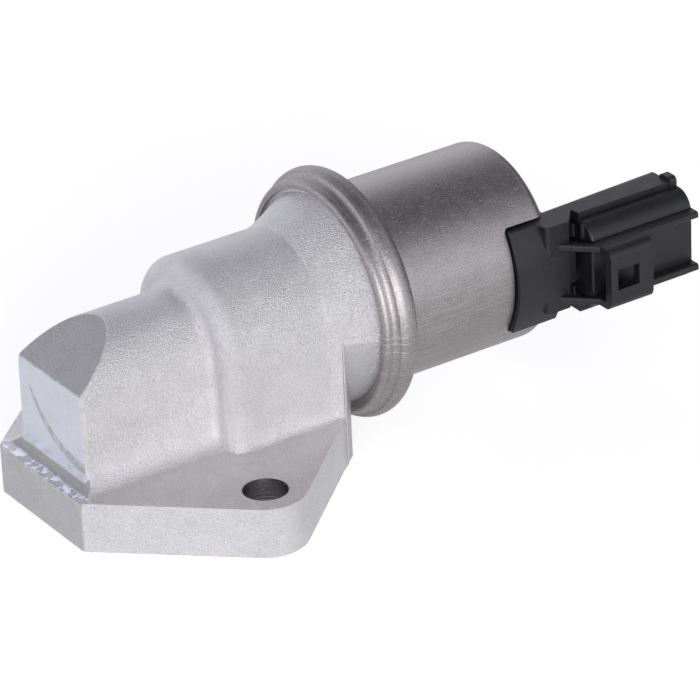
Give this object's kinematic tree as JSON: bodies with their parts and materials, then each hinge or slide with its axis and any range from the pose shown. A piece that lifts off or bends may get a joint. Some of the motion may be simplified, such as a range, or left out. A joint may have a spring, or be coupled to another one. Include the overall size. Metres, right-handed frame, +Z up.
{
  "type": "idle air control valve",
  "caption": "Engine idle air control valve: die-cast body on a flange, with air ports below, a sliding metering valve, a crimped solenoid can and a side plug socket.",
  "frame": {"origin": "midway between the two bolt holes, on the flat mounting face", "axes": "+X along the barrel towards the connector, +Z up from the mounting face, connector on the -Y side"},
  "size_m": [0.1089, 0.0628, 0.0419],
  "materials": {
    "cast_body": "shot-blasted die casting",
    "can_steel": "drawn sheet with a zinc flash",
    "magnet_iron": "machined soft iron",
    "ground_steel": "ground stainless",
    "brass_trim": "turned",
    "tinned_brass": "tinned blade",
    "winding_copper": "enamelled wire",
    "bobbin_plastic": "glass-filled moulding",
    "connector_plastic": "black moulding, slight sheen",
    "valve_plastic": "glass-filled moulding",
    "seal_rubber": "moulded"
  },
  "bodies": {
    "housing": {"valve_body": "cast_body", "seat_ring": "brass_trim", "front_bush": "brass_trim", "bearing_plate": "magnet_iron", "rear_bush": "brass_trim", "bearing_retainer": "ground_steel", "front_spring": "ground_steel", "return_spring": "ground_steel", "armature_sleeve": "ground_steel", "fixed_core": "magnet_iron", "air_gap_shim": "brass_trim", "adjusting_screw": "ground_steel", "front_yoke_plate": "magnet_iron", "rear_yoke_plate": "magnet_iron", "coil_bobbin": "bobbin_plastic", "coil_winding": "winding_copper", "body_seal": "seal_rubber", "solenoid_can": "can_steel", "connector_housing": "connector_plastic", "upper_terminal": "tinned_brass", "lower_terminal": "tinned_brass"},
    "valve_spool": {"valve_stem": "ground_steel", "valve_cone": "valve_plastic", "valve_clip": "ground_steel", "spring_cup": "ground_steel", "cup_clip": "ground_steel", "armature": "magnet_iron"}
  },
  "joints": [
    {"name": "valve_slide", "type": "slide", "parent": "housing", "child": "valve_spool", "axis": [1, 0, 0], "range_m": [0, 0.004], "stiffness_N_per_m": 600, "springref_m": -0.006, "deforming": ["front_spring", "return_spring"]}
  ]
}
